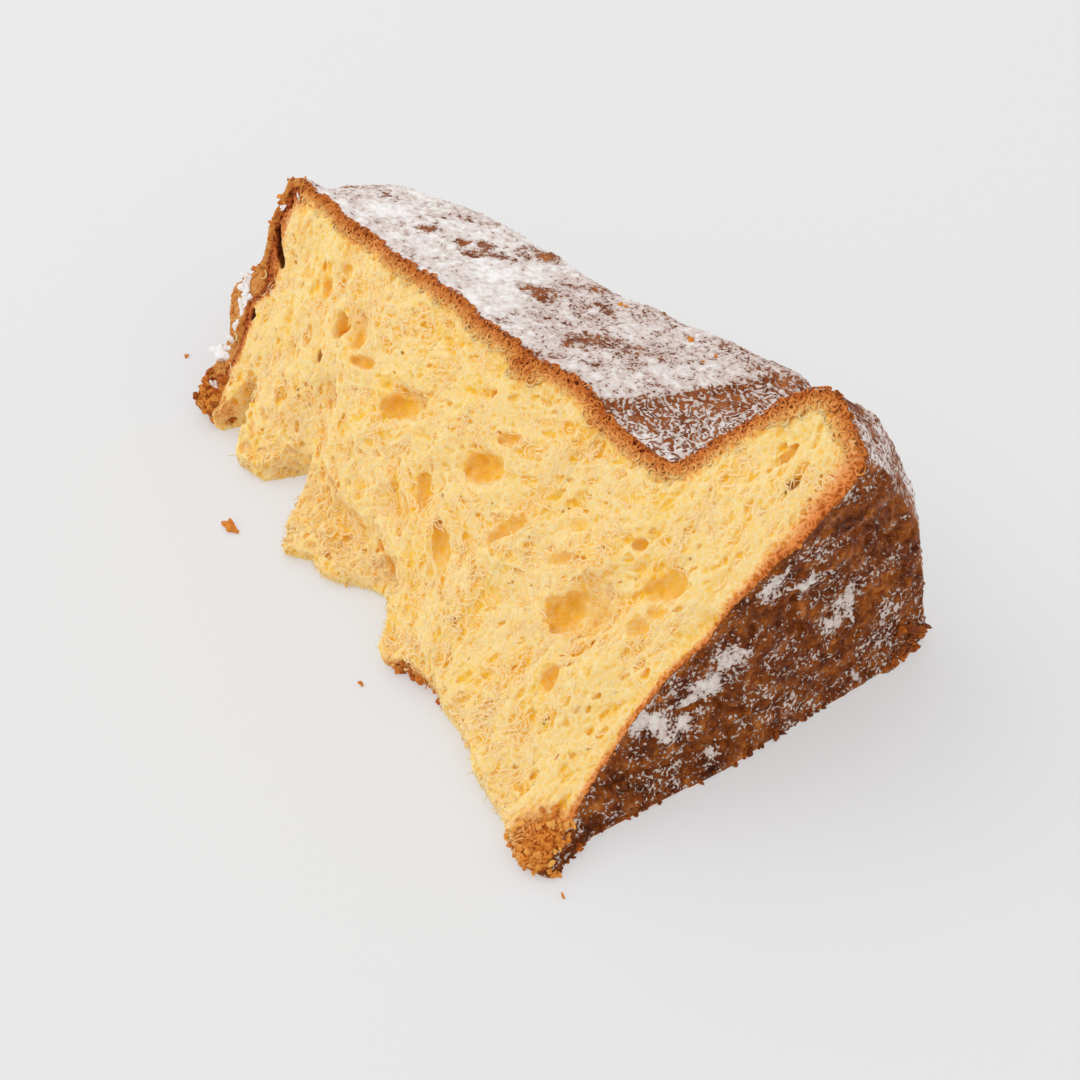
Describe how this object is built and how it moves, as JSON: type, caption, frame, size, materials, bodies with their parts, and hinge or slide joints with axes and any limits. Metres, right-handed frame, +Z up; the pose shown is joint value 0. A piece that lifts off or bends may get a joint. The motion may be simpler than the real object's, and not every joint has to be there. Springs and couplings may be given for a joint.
{
  "type": "pandoro slice",
  "caption": "Slice of pandoro cake lying on a cut face: torn yellow crumb, star-point crust flaring to a ledged base, dusted with powdered sugar.",
  "frame": {"origin": "on the ground under the middle of the slice's bounding box", "axes": "+X along the axis of the whole cake from its narrow top to its broad base, +Y from the torn edge out to the crust, +Z up from the cut face it lies on"},
  "size_m": [0.1918, 0.1146, 0.0805],
  "materials": {
    "crumb": "matte, soft, open-pored yellow crumb",
    "crust": "satin browned crust with fine wrinkles",
    "sugar": "matte white powdered sugar"
  },
  "bodies": {
    "root": {"pandoro_slice": "crumb"}
  },
  "joints": []
}
